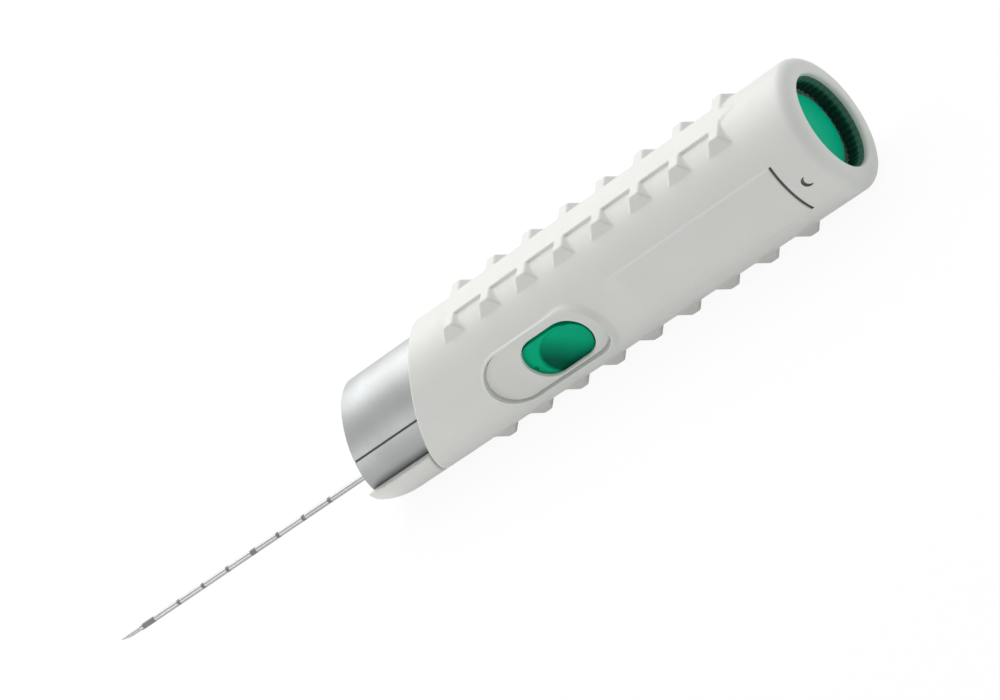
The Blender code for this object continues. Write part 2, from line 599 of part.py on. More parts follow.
def make_chassis(finish, steel):
    """The half-tube chassis with its two bulkheads, the latch plate and the guide rods."""
    chassis_x = (PLUG_REAR_X + GAP, REAR_WALL_X + 0.5 * REAR_WALL_T)
    chassis = tube("chassis_frame", CHASSIS_R, CHASSIS_BORE_R, chassis_x, finish, steps=FINE)
    wide = 2.0 * BARREL_R
    combine(chassis, box("chassis_open_side", (-wide, 2 * REAR_X), (-wide, wide), (-wide, 0.0)))
    bulkhead_r = BORE_R - GAP
    front_x = (BULKHEAD_X, BULKHEAD_X + BULKHEAD_T)
    rear_x = (REAR_WALL_X, REAR_WALL_X + REAR_WALL_T)
    combine(chassis, rod("front_bulkhead", bulkhead_r, front_x, sides=MEDIUM), "UNION")
    combine(chassis, rod("rear_bulkhead", bulkhead_r, rear_x, sides=MEDIUM), "UNION")

    pin_way = (PIN_X - PIN_R - GAP, PIN_X + THROW + PIN_R + GAP)
    combine(chassis, box("pin_slot", pin_way, (-PIN_R - GAP, PIN_R + GAP), (PUSHER_TOP, CAM_R)))
    passage_y = (-PUSHER_HALF_WIDTH - GAP, PUSHER_HALF_WIDTH + GAP)
    passage_z = (PUSHER_LOW - GAP, PUSHER_TOP + GAP)
    through = (BULKHEAD_X - PAST, FRONT_STOP_X)
    combine(chassis, box("pusher_passage", through, passage_y, passage_z))
    combine(chassis, rod("needle_way", CANNULA_R + GAP, through, z=NEEDLE_Z))
    bar_way_z = (-BAR_HALF_WIDTH - GAP, BAR_HALF_WIDTH + GAP)
    bar_way_x = (REAR_WALL_X - PAST, GUIDE_RING_X)
    combine(chassis, box("bar_way", bar_way_x, (-wide, BAR_INNER_Y + GAP), bar_way_z))
    blade_way_x = (BLADE_X - TRIGGER_TRAVEL - GAP, BLADE_X + BLADE_T + GAP)
    blade_z = LATCH_Z + LATCH_T
    blade_way_z = (blade_z - BLADE_HALF_HEIGHT - GAP, blade_z + BLADE_HALF_HEIGHT + GAP)
    combine(chassis, box("blade_way", blade_way_x, (-wide, -0.5 * CHASSIS_R), blade_way_z))

    rods_x = (BULKHEAD_X + ROD_SET_IN, REAR_WALL_X + REAR_WALL_T - ROD_SET_IN)
    for name, y in (("guide_rod_left", -ROD_Y), ("guide_rod_right", ROD_Y)):
        way = rod(name + "_way", ROD_R + SLIM_GAP, (BULKHEAD_X - PAST, GUIDE_RING_X), y, ROD_Z)
        combine(chassis, way)
        rod(name, ROD_R, rods_x, y, ROD_Z, steel)

    plate_x = (LATCH_PLATE_X, LATCH_PLATE_X + LATCH_PLATE_T)
    plate = rod("latch_plate", CHASSIS_BORE_R - GAP, plate_x, finish=steel, sides=MEDIUM)
    plate_low = ROD_Z + COIL_R + COIL_GAP
    combine(plate, box("plate_open_side", (0.0, 2 * REAR_X), (-wide, wide), (-wide, plate_low)))
    for name, y in (("stylet_latch_way", -LATCH_Y), ("cannula_latch_way", LATCH_Y)):
        span = (y - LATCH_HALF_WIDTH - GAP, y + LATCH_HALF_WIDTH + GAP)
        hook_top = LATCH_Z + LATCH_T + HOOK_RISE
        combine(plate, box(name, (0.0, 2 * REAR_X), span, (LATCH_Z - GAP, hook_top + GAP)))
    return chassis


def make_carriage(name, x, y_limits, seat_side, finish):
    """A carriage on the guide rods, with its keel round the hub and a seat for its latch."""
    along = (x, x + CARRIAGE_LENGTH)
    low, high = ROD_Z - CARRIAGE_HALF_HEIGHT, ROD_Z + CARRIAGE_HALF_HEIGHT
    carriage = box(name, along, y_limits, (low, high), finish)
    keel_low = NEEDLE_Z - HUB_R - GAP - KEEL_WALL
    keel_y = (-KEEL_HALF_WIDTH, KEEL_HALF_WIDTH)
    keel_x = (x + KEEL_SET_IN, x + CARRIAGE_LENGTH - KEEL_SET_IN)
    combine(carriage, box(name + "_keel", keel_x, keel_y, (keel_low, low + PAST)), "UNION")
    middle = seat_side * LATCH_Y
    seat_y = (middle - LATCH_HALF_WIDTH - GAP, middle + LATCH_HALF_WIDTH + GAP)
    combine(carriage, box(name + "_seat", keel_x, seat_y, (high - PAST, SEAT_TOP)), "UNION")
    through = (x - PAST, x + CARRIAGE_LENGTH + PAST)
    for side in (-1, 1):
        if y_limits[0] < side * ROD_Y < y_limits[1]:
            way = rod("%s_rod_way_%d" % (name, side + 2), ROD_R + GAP, through, side * ROD_Y, ROD_Z)
            combine(carriage, way)
    combine(carriage, rod(name + "_hub_way", HUB_R + GAP, through, z=NEEDLE_Z, sides=COARSE))
    return carriage


def make_hub(name, x, bore, finish):
    """The moulded hub that grips the rear end of one needle."""
    rear = x + CARRIAGE_LENGTH - GAP
    nose = x - HUB_NOSE
    outline = [(rear, HUB_R), (x, HUB_R), (nose, HUB_NOSE_R), (nose, bore), (rear, bore)]
    turned(name, outline, finish, z=NEEDLE_Z, steps=COARSE)


def make_latch(name, x, side, finish):
    """A sprung latch arm with an upturned hook at its rear end."""
    low, high = LATCH_Z, LATCH_Z + LATCH_T
    end = HOOK_X + HOOK_LENGTH
    hook = high + HOOK_RISE
    outline = [(x, low), (end, low), (end, high), (HOOK_X + HOOK_CREST, hook), (HOOK_X, hook)]
    outline += [(HOOK_X, high), (x, high)]
    strip(name, outline, side * LATCH_Y, LATCH_HALF_WIDTH, finish)


def make_drive(plastic, green, steel, wire, rubber):
    """Both spring-driven carriages with their hubs, latches, springs and stop rings."""
    full = (-CARRIAGE_HALF_WIDTH, CARRIAGE_HALF_WIDTH)
    beside_spring = (-CARRIAGE_HALF_WIDTH, ROD_Y - COIL_R - COIL_GAP)
    make_carriage("cannula_carriage", CANNULA_X, full, 1, plastic)
    make_carriage("stylet_carriage", STYLET_X, beside_spring, -1, plastic)
    make_hub("cannula_hub", CANNULA_X, CANNULA_R + SLIM_GAP, green)
    make_hub("stylet_hub", STYLET_X, STYLET_R + SLIM_GAP, green)
    make_latch("cannula_latch", CANNULA_X + LATCH_SET_BACK, 1, steel)
    make_latch("stylet_latch", STYLET_X + LATCH_SET_BACK, -1, steel)

    seat = REAR_WALL_X - GAP - SPRING_WIRE_R
    for name, x, y, turns in (
        ("cannula_spring", CANNULA_X, ROD_Y, CANNULA_SPRING_TURNS),
        ("stylet_spring", STYLET_X, -ROD_Y, STYLET_SPRING_TURNS),
    ):
        start = x + CARRIAGE_LENGTH + GAP + SPRING_WIRE_R
        coil(name, SPRING_R, SPRING_WIRE_R, turns, (start, seat), wire, y, ROD_Z, points_per_turn=10)

    ring_bore = ROD_R + SLIM_GAP
    front_stop = (FRONT_STOP_X, FRONT_STOP_X + FRONT_STOP_T)
    stylet_stop = (STYLET_STOP_X, STYLET_STOP_X + STOP_RING_T)
    tube("cannula_stop_ring", SPRING_R, ring_bore, front_stop, rubber, ROD_Y, ROD_Z, steps=COARSE)
    tube("stylet_stop_ring", SPRING_R, ring_bore, stylet_stop, rubber, -ROD_Y, ROD_Z, steps=COARSE)


def make_pusher(plastic, steel):
    """The cocking pusher with its follower pin, and the two pawls under it."""
    along = (PUSHER_FRONT_X, PUSHER_FRONT_X + PUSHER_LENGTH)
    across = (-PUSHER_HALF_WIDTH, PUSHER_HALF_WIDTH)
    pusher = box("cocking_pusher", along, across, (PUSHER_LOW, PUSHER_TOP), plastic)
    bm = bmesh.new()
    pin_low = PUSHER_LOW + PAST
    pin_top = CAM_R - GAP
    middle = Matrix.Translation((PIN_X, 0.0, 0.5 * (pin_low + pin_top)))
    height = pin_top - pin_low
    bmesh.ops.create_cone(
        bm, cap_ends=True, segments=SMALL, radius1=PIN_R, radius2=PIN_R, depth=height, matrix=middle
    )
    combine(pusher, place("follower_pin", mesh_from("follower_pin", bm)), "UNION")

    top = PUSHER_LOW - GAP
    rear_pawl_x = along[1] - PAWL_LENGTH - PAWL_SET_BACK
    for name, x in (("front_pawl", FRONT_STOP_X + GAP), ("rear_pawl", rear_pawl_x)):
        outline = [(x, top), (x, top - PAWL_DROP), (x + PAWL_T, top - PAWL_DROP)]
        outline += [(x + PAWL_NOSE, top - PAWL_T), (x + PAWL_LENGTH, top - PAWL_T), (x + PAWL_LENGTH, top)]
        strip(name, outline, 0.0, PAWL_HALF_WIDTH, steel)


def make_end_button(green):
    """The round end button: a cup with three lugs and a pocket for the bar's finger."""
    inner = BUTTON_R - BUTTON_WALL
    face = BUTTON_REAR_X - BUTTON_WALL
    outline = [(BUTTON_REAR_X, 0.0), (BUTTON_REAR_X, BUTTON_R - BUTTON_CHAMFER)]
    outline += [(BUTTON_REAR_X - BUTTON_CHAMFER, BUTTON_R)]
    outline += [(BUTTON_FRONT_X, BUTTON_R), (BUTTON_FRONT_X, inner), (face, inner), (face, 0.0)]
    button = turned("end_button", outline, green, steps=FINE, closed=False)
    lug_x = (LUG_REAR_X - LUG_LENGTH, LUG_REAR_X)
    inward = inner + LUG_ROOT
    outward = BUTTON_R + LUG_REACH
    across = (-LUG_HALF_WIDTH, LUG_HALF_WIDTH)
    combine(button, box("lug_top", lug_x, across, (inward, outward)), "UNION")
    combine(button, box("lug_bottom", lug_x, across, (-outward, -inward)), "UNION")
    combine(button, box("lug_side", lug_x, (inward, outward), across), "UNION")
    pocket_x = (FINGER_REAR_X - FINGER_T - GAP, FINGER_REAR_X + GAP)
    pocket_z = (-FINGER_HALF_WIDTH - GAP, FINGER_HALF_WIDTH + GAP)
    pocket_y = (-2 * BUTTON_R, FINGER_POCKET_Y)
    combine(button, box("finger_pocket", pocket_x, pocket_y, pocket_z))


def make_thumb_button(green):
    """The thumb button: a plate that slides under the window, with a shallow dish."""
    along = (THUMB_FRONT_X, THUMB_REAR_X)
    across = (WINDOW_Z - THUMB_HALF_WIDTH, WINDOW_Z + THUMB_HALF_WIDTH)
    thumb = box("thumb_button", along, (THUMB_TOP_Y, THUMB_TOP_Y + THUMB_T), across, green)
    bm = bmesh.new()
    bmesh.ops.create_uvsphere(bm, u_segments=32, v_segments=16, radius=1.0)
    bm.transform(Matrix.Diagonal((DISH_HALF_LENGTH, DISH_DEPTH, DISH_HALF_WIDTH, 1.0)))
    bm.transform(Matrix.Translation((DISH_X, THUMB_TOP_Y, WINDOW_Z)))
    combine(thumb, place("thumb_dish", mesh_from("thumb_dish", bm)))


def make_trigger(green, plastic, steel, wire):
    """Both buttons, the bar that joins them, the release blade, the guide ring and the spring."""
    make_end_button(green)
    make_thumb_button(green)
    wide = 2.0 * BARREL_R
    bar_z = (-BAR_HALF_WIDTH, BAR_HALF_WIDTH)
    bar = box("trigger_bar", (THUMB_REAR_X + GAP, FINGER_REAR_X), (BAR_OUTER_Y, BAR_INNER_Y), bar_z, plastic)
    finger_x = (FINGER_REAR_X - FINGER_T, FINGER_REAR_X)
    finger_z = (-FINGER_HALF_WIDTH, FINGER_HALF_WIDTH)
    finger_y = (BAR_OUTER_Y, FINGER_POCKET_Y - GAP)
    combine(bar, box("bar_finger", finger_x, finger_y, finger_z), "UNION")

    blade_y = (BAR_INNER_Y + GAP, LATCH_Y + LATCH_HALF_WIDTH + BLADE_OVERHANG)
    blade_z = LATCH_Z + LATCH_T
    blade_limits = (blade_z - BLADE_HALF_HEIGHT, blade_z + BLADE_HALF_HEIGHT)
    box("release_blade", (BLADE_X, BLADE_X + BLADE_T), blade_y, blade_limits, steel)

    ring_x = (GUIDE_RING_X, GUIDE_RING_X + GUIDE_RING_T)
    ring = tube("button_guide_ring", BORE_R - GAP, BUTTON_R + GAP, ring_x, plastic, steps=MEDIUM)
    bar_way_z = (-BAR_HALF_WIDTH - GAP, BAR_HALF_WIDTH + GAP)
    bar_way_x = (GUIDE_RING_X - PAST, ring_x[1] + PAST)
    combine(ring, box("ring_bar_way", bar_way_x, (-wide, BAR_INNER_Y + GAP), bar_way_z))
    spring_x = (ring_x[1] + GAP + RETURN_WIRE_R, LUG_REAR_X - LUG_LENGTH - GAP - RETURN_WIRE_R)
    coil("trigger_spring", RETURN_SPRING_R, RETURN_WIRE_R, RETURN_TURNS, spring_x, wire, points_per_turn=24)


def smooth_round_pieces():
    """Shades every mesh smooth, with its edges over 35 degrees kept sharp."""
    for item in PARTS.objects:
        if item.type == "MESH":
            item.data.shade_smooth()
            item.data.set_sharp_from_angle(angle=math.radians(35.0))


white = material("warm_white_moulding", (0.72, 0.73, 0.70), 0.42)
green_plastic = material("green_moulding", (0.0, 0.36, 0.20), 0.35)
grey_plastic = material("grey_moulding", (0.45, 0.46, 0.47), 0.5)
aluminium = material("satin_aluminium", (0.66, 0.68, 0.70), 0.3, 1.0)
steel_sheet = material("steel_sheet", (0.55, 0.56, 0.58), 0.35, 1.0)
needle_steel = material("needle_steel", (0.70, 0.71, 0.72), 0.22, 1.0)
spring_wire = material("spring_wire", (0.42, 0.42, 0.43), 0.3, 1.0)
black_rubber = material("black_rubber", (0.03, 0.03, 0.03), 0.8)

make_barrel(white)
make_cradle(white)
make_needle(needle_steel, steel_sheet)
make_sleeve(aluminium, grey_plastic, spring_wire)
make_chassis(grey_plastic, steel_sheet)
make_drive(grey_plastic, green_plastic, steel_sheet, spring_wire, black_rubber)
make_pusher(grey_plastic, steel_sheet)
make_trigger(green_plastic, grey_plastic, steel_sheet, spring_wire)
smooth_round_pieces()
bpy.context.view_layer.update()
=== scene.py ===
"""Core biopsy instrument: the looks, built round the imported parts."""

import math

import bpy
import numpy as np
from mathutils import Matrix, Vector


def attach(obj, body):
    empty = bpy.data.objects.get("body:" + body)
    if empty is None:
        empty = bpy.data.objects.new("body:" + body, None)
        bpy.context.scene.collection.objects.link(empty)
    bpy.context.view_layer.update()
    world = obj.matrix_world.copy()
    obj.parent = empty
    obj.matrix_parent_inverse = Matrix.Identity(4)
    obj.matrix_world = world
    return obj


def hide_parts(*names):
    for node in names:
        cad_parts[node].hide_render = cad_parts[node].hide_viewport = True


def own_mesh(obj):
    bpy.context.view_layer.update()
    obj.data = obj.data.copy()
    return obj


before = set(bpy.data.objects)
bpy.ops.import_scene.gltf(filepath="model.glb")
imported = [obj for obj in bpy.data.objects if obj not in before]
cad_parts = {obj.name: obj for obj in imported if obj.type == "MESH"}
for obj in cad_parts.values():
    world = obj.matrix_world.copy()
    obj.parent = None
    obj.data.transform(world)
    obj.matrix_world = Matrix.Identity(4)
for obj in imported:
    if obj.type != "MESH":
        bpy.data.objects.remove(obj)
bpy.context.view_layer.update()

# Camera: a long lens that looks down on the rear right of the instrument, rolled so that the needle points
# to the lower left of the picture.
CAMERA_PLACE = (0.39187, -0.52924, 0.30009)
CAMERA_TURN = (55.6035, 44.6330, 9.1312)

lens = bpy.data.cameras.new("camera")
lens.lens = 104.11
lens.sensor_width = 36.0
camera = bpy.data.objects.new("camera", lens)
camera.location = CAMERA_PLACE
camera.rotation_euler = [math.radians(angle) for angle in CAMERA_TURN]
bpy.context.scene.collection.objects.link(camera)
bpy.context.scene.camera = camera

# Grip barrel: one hollow injection moulding in warm white plastic with edges as soft as they leave the mould.
# It has two bands of cross teeth, a raised label pad, a rounded rear lip, and a thumb recess with a window.
# The recess floor climbs toward its front end, and a narrow trench runs round its foot.
NOSE_TO_MIDDLE = 21.9
AXIS_HEIGHT = 17.5
GRIP_R = 17.3
TREAD_TOP = 17.5
FIRST_TOOTH_X = 34.7
TOOTH_PITCH = 12.2
LAST_TOOTH = 8
TOOTH_HALF_LENGTH = 1.3
TOOTH_HALF_WIDTH = 8.3
TOOTH_SOFTNESS = {1: 0.3, -1: 0.5}
FLANK_RUN = 0.76
END_FACE_RUN = 0.38
SPINE_HALF_WIDTH = 4.3
SPINE_RUN = 0.2
SPINE_END_RUN = 0.3
SPINE_SOFTNESS = 0.25
ROOT_SOFTNESS = 0.2
FRONT_RIM_X = 22.3
FRONT_RIM_SLANT = 0.56
FRONT_RIM_ROUND = 0.7
FRONT_RIM_CHAMFER = 0.3
SHEARED_TO_X = 33.5
FRONT_BORE_R = 15.15
BORE_STEP_X = 45.3
BORE_R = 13.2
REAR_X = 152.5
LIP_ROUND = 3.0
LIP_DEPTH = 5.8
THROAT_R = 12.15
THROAT_ROUND = 0.8
LINER_SEAT_X = 150.05
LINER_SEAT_R = 13.1
PAD_END_X = 140.5
PAD_FADE_X = (88.5, 94.5)
PAD_HALF_WIDTH = 7.4
PAD_CORNER = 0.4
PAD_RISE = 0.4
PAD_EDGE = (-0.3, 0.25)
RECESS = (64.1, 17.8, 8.0)
RECESS_Z = -0.4
RECESS_FLOOR = 14.7
RECESS_WALL = 0.25
RECESS_TAPER_Y = -15.6
COLLAR_RISE = 0.6
COLLAR_REAR_RISE = 0.6
COLLAR_WIDTH = 0.5
COLLAR_REAR_WIDTH = 1.1
COLLAR_SHOULDER = 0.1
FOOT_DEPTH = 0.5
FOOT_WIDTH = 0.42
FOOT_TAPER = 0.05
RAMP = 0.24
WINDOW = (66.85, 9.85, 6.2)
WINDOW_Z = -1.2
WINDOW_EDGE = ((0.0, 0.2), (0.25, 0.0))
WINDOW_CUT_TO_Y = -6.0
POCKET = ((52.4, 81.3), (-13.8, -6.6), (-8.4, 6.0))
CLEAR_Y = -20.0


def graded(start, *spans):
    """Places from start on; each span gives where it ends and its number of steps."""
    places = [start]
    for end, count in spans:
        places += list(np.linspace(places[-1], end, count + 1)[1:])
    return np.array(places)


def ease(low, high, value):
    """0 below low and 1 above high, with a smooth step between them."""
    share = np.clip((value - low) / (high - low), 0.0, 1.0)
    return share * share * (3.0 - 2.0 * share)


def soft_min(a, b, width):
    """The lower of two heights, with the edge between them rounded over that width."""
    share = np.clip(0.5 + 0.5 * (b - a) / width, 0.0, 1.0)
    return b + (a - b) * share - width * share * (1.0 - share)


def soft_max(a, b, width):
    """The higher of two heights, with the hollow between them rounded over that width."""
    return -soft_min(-a, -b, width)


def beyond_slot(x, z, middle, half_length, half_width):
    """How far a place lies outside an outline with round ends; inside it is negative."""
    along = np.maximum(np.abs(x - middle) - (half_length - half_width), 0.0)
    return np.hypot(along, z) - half_width


def tread(x, turn, side, first):
    """One tread band as a distance from the axis: a flat spine and its tapered cross teeth.

    Each run is how far a sloping face spreads for every millimetre that it falls.
    """
    up = np.clip(side * np.sin(turn), 0.35, 1.0)
    out = np.abs(np.cos(turn))
    crest = TREAD_TOP / up
    number = np.clip(np.round((x - FIRST_TOOTH_X) / TOOTH_PITCH), first, LAST_TOOTH)
    along = np.abs(x - FIRST_TOOTH_X - TOOTH_PITCH * number)
    flank = (TREAD_TOP - (along - TOOTH_HALF_LENGTH) / FLANK_RUN) / up
    end = (TREAD_TOP + TOOTH_HALF_WIDTH / END_FACE_RUN) / (up + out / END_FACE_RUN)
    softness = TOOTH_SOFTNESS[side]
    tooth = soft_min(crest, soft_min(flank, end, softness), softness)
    start_x = FIRST_TOOTH_X + TOOTH_PITCH * first
    stop_x = FIRST_TOOTH_X + TOOTH_PITCH * LAST_TOOTH
    past = np.maximum(np.maximum(start_x - x, x - stop_x), 0.0)
    spine = (TREAD_TOP + SPINE_HALF_WIDTH / SPINE_RUN) / (up + out / SPINE_RUN) - past / SPINE_END_RUN
    band = soft_max(tooth, soft_min(crest, spine, SPINE_SOFTNESS), ROOT_SOFTNESS)
    return np.where(side * np.sin(turn) > 0.5, band, 0.0), crest


def grip_radius(x, turn):
    """The outside of the grip at a place along it and a turn from the thumb side toward the top."""
    radius = np.full(np.broadcast(x, turn).shape, GRIP_R)
    z = GRIP_R * np.sin(turn)
    for side, first in ((-1, 0), (1, 1)):
        band, crest = tread(x, turn, side, first)
        radius = np.minimum(soft_max(radius, band, SPINE_SOFTNESS), crest)
    on_front = np.cos(turn) > 0.5

    pad_side = np.abs(z) - PAD_HALF_WIDTH
    pad_end = x - PAD_END_X
    past_end = np.maximum(pad_end + PAD_CORNER, 0.0)
    past_side = np.maximum(pad_side + PAD_CORNER, 0.0)
    outside = np.hypot(past_end, past_side) - PAD_CORNER
    inside = np.minimum(np.maximum(pad_end, pad_side) + PAD_CORNER, 0.0)
    rise = PAD_RISE * ease(*PAD_FADE_X, x) * (1.0 - ease(*PAD_EDGE, outside + inside))
    radius = radius + np.where(on_front, rise, 0.0)

    beyond = beyond_slot(x, z - RECESS_Z, *RECESS)
    rearward = ease(0.3, 0.95, (x - RECESS[0]) / RECESS[1])
    width = COLLAR_WIDTH + COLLAR_REAR_WIDTH * rearward
    slope = np.clip(1.0 - (beyond - RECESS_WALL) / width, 0.0, 1.0) ** 1.2
    shoulder = COLLAR_SHOULDER * (1.0 - ease(-0.1, RECESS_WALL, beyond))
    collar = (COLLAR_RISE + COLLAR_REAR_RISE * rearward) * slope - shoulder
    return radius + np.where(on_front, collar, 0.0)


def rim_place(radius, turn):
    """Where the slanting front rim crosses that radius."""
    return FRONT_RIM_X + FRONT_RIM_SLANT * radius * np.sin(turn)


def ring_faces(rings, around, closed=True):
    """Four-sided faces between neighbouring rings of points."""
    i = np.arange(rings if closed else rings - 1)[:, None]
    j = np.arange(around)[None, :]
    ahead, beside = (i + 1) % rings, (j + 1) % around
    corners = [i * around + j, ahead * around + j, ahead * around + beside, i * around + beside]
    return np.stack(np.broadcast_arrays(*corners), -1).reshape(-1, 4)


def from_axis(x, radius, turn):
    """Points from places along the axis, distances from it and turns from the thumb side."""
    x, radius, turn = np.broadcast_arrays(x, radius, turn)
    return np.stack([x, -radius * np.cos(turn), radius * np.sin(turn)], -1).reshape(-1, 3)


def add_mesh(name, points, faces, finishes, chosen=None, sharp=50.0):
    """Adds a mesh from points in millimetres, measured from the nose plane and the axis."""
    placed = (np.asarray(points, float) + (-NOSE_TO_MIDDLE, 0.0, AXIS_HEIGHT)) * 0.001
    data = bpy.data.meshes.new(name)
    data.from_pydata(placed.tolist(), [], [list(face) for face in faces])
    for finish in finishes:
        data.materials.append(finish)
    if chosen is not None:
        data.polygons.foreach_set("material_index", np.asarray(chosen, np.int32))
    data.shade_smooth()
    data.set_sharp_from_angle(angle=math.radians(sharp))
    item = bpy.data.objects.new(name, data)
    bpy.context.scene.collection.objects.link(item)
    return item


def fixed_to(item, body, finish_slot, *nodes):
    """Makes the piece ride on a body and stand for its own nodes; the finish slot is not used."""
    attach(item, body)
    if nodes:
        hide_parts(*nodes)
    return item


def settle(item):
    """Turns the modifiers of a piece into its own mesh."""
    bpy.context.view_layer.update()
    shaped = item.evaluated_get(bpy.context.evaluated_depsgraph_get())
    data = bpy.data.meshes.new_from_object(shaped)
    item.modifiers.clear()
    item.data = data


def cut(item, points, faces, finishes=()):
    """Cuts a closed shape from a piece, and gives the cut faces a finish of their own where one is named."""
    tool = add_mesh(item.name + "_cutter", points, faces, finishes)
    step = item.modifiers.new("cut", "BOOLEAN")
    step.operation = "DIFFERENCE"
    step.solver = "EXACT"
    step.material_mode = "TRANSFER"
    step.object = tool
    settle(item)
    bpy.data.objects.remove(tool)


def stacked(outlines):
    """A closed shape from outlines of like count, given from the outside of the grip inward."""
    count = len(outlines[0])
    faces = [list(face) for face in ring_faces(len(outlines), count, closed=False)]
    faces += [list(range(count)), list(range((len(outlines) - 1) * count, len(outlines) * count))[::-1]]
    return np.concatenate(outlines), faces


def slot_outline(y, height, middle, half_length, half_width):
    """An outline with round ends, parallel to the side of the grip at that depth and height."""
    bend = np.radians(graded(-90, (90, 24)))
    x = np.concatenate([half_width * np.cos(bend) + half_length - half_width] * 2)
    x[len(bend):] *= -1.0
    z = half_width * np.concatenate([np.sin(bend), -np.sin(bend)])
    return np.stack([middle + x, np.full_like(x, y), height + z], -1)


def new_finish(name):
    """A fresh material, with its nodes, its links, its shader and the place on the object."""
    finish = bpy.data.materials.new(name)
    finish.use_nodes = True
    nodes, links = finish.node_tree.nodes, finish.node_tree.links
    where = nodes.new("ShaderNodeTexCoord").outputs["Object"]
    return finish, nodes, links, nodes["Principled BSDF"], where


def clouded(nodes, links, where, scale, detail):
    """A noise texture read at a place."""
    texture = nodes.new("ShaderNodeTexNoise")
    texture.inputs["Scale"].default_value = scale
    texture.inputs["Detail"].default_value = detail
    links.new(where, texture.inputs["Vector"])
    return texture.outputs["Fac"]


def ranged(nodes, links, value, source, target):
    """A value carried over from one range to another."""
    step = nodes.new("ShaderNodeMapRange")
    for limit, number in zip(("From Min", "From Max", "To Min", "To Max"), (*source, *target)):
        step.inputs[limit].default_value = number
    links.new(value, step.inputs["Value"])
    return step.outputs["Result"]


def worked(nodes, links, shader, colour, changes, clouds, roughness, spread, patches, relief, grain):
    """Clouds the colour, spreads the roughness over patches and raises a fine relief."""
    tint = nodes.new("ShaderNodeValToRGB")
    for element, place, change in zip(tint.color_ramp.elements, (0.3, 0.7), changes):
        element.position = place
        element.color = (*[min(1.0, part * change) for part in colour], 1.0)
    links.new(clouds, tint.inputs["Fac"])
    links.new(tint.outputs["Color"], shader.inputs["Base Color"])
    shine = ranged(nodes, links, patches, (0.3, 0.7), (roughness - spread, roughness + spread))
    links.new(shine, shader.inputs["Roughness"])
    bump = nodes.new("ShaderNodeBump")
    bump.inputs["Strength"].default_value = 1.0
    bump.inputs["Distance"].default_value = relief
    links.new(grain, bump.inputs["Height"])
    links.new(bump.outputs["Normal"], shader.inputs["Normal"])


def moulded_plastic(name, colour, roughness, grain, relief, mottle, specular=0.5):
    """A moulded plastic: a fine spark-eroded grain, faint clouds of colour and patches of handling shine."""
    finish, nodes, links, shader, where = new_finish(name)
    shader.inputs["Specular IOR Level"].default_value = specular
    clouds = clouded(nodes, links, where, 70.0, 4.0)
    patches = clouded(nodes, links, where, 260.0, 5.0)
    eroded = clouded(nodes, links, where, 1.0 / grain, 3.0)
    changes = (1.0 - mottle, 1.0 + mottle)
    worked(nodes, links, shader, colour, changes, clouds, roughness, 0.06, patches, relief, eroded)
    return finish


warm_white = moulded_plastic("warm_white_moulding", (0.70, 0.71, 0.68), 0.46, 0.00022, 0.000012, 0.012)

degrees = graded(
    -30, (30, 60), (54, 9), (68, 14), (73, 3), (79, 6), (101, 9), (107, 6), (112, 3), (126, 14),
    (234, 33), (248, 14), (253, 3), (259, 6), (281, 9), (287, 6), (292, 3), (306, 14), (330, 9),
)[:-1]
lip_x = REAR_X - LIP_ROUND
lengthwise = graded(
    SHEARED_TO_X, (137.0, 305), (139.7, 7), (141.3, 8), (143.2, 6), (146.6, 12), (lip_x, 6),
)
turn = np.radians(degrees)
round_turn = np.ones_like(turn)
rings = []
for angle in np.radians(graded(0, (90, 5))):
    radius = GRIP_R - FRONT_RIM_ROUND * (1.0 - math.sin(angle))
    x = rim_place(radius, turn) + FRONT_RIM_ROUND * (1.0 - math.cos(angle))
    rings.append((x, radius * round_turn))
for share in graded(0, (1, 36))[1:]:
    x = (rim_place(GRIP_R, turn) + FRONT_RIM_ROUND) * (1.0 - share) + SHEARED_TO_X * share
    rings.append((x, grip_radius(x, turn)))
for x in lengthwise[1:]:
    rings.append((x * round_turn, grip_radius(x * round_turn, turn)))
lip = [
    (lip_x + LIP_ROUND * math.sin(a), GRIP_R - LIP_ROUND + LIP_ROUND * math.cos(a))
    for a in np.radians(graded(0, (90, 10)))[1:]
]
lip += [
    (REAR_X - THROAT_ROUND + THROAT_ROUND * math.cos(a), THROAT_R + THROAT_ROUND - THROAT_ROUND * math.sin(a))
    for a in np.radians(graded(0, (90, 6)))
]
lip += [(LINER_SEAT_X, THROAT_R), (LINER_SEAT_X, LINER_SEAT_R)]
lip += [(REAR_X - LIP_DEPTH, LINER_SEAT_R), (REAR_X - LIP_DEPTH, BORE_R)]
lip += [(BORE_STEP_X, BORE_R), (BORE_STEP_X, FRONT_BORE_R)]
rings += [(x * round_turn, radius * round_turn) for x, radius in lip]
rings.append((rim_place(FRONT_BORE_R, turn) + FRONT_RIM_CHAMFER, FRONT_BORE_R * round_turn))
chamfer_r = FRONT_BORE_R + FRONT_RIM_CHAMFER
rings.append((rim_place(chamfer_r, turn), chamfer_r * round_turn))
points = np.concatenate([from_axis(x, radius, turn) for x, radius in rings])
barrel = add_mesh("grip_barrel_moulding", points, ring_faces(len(rings), len(turn)), [warm_white])

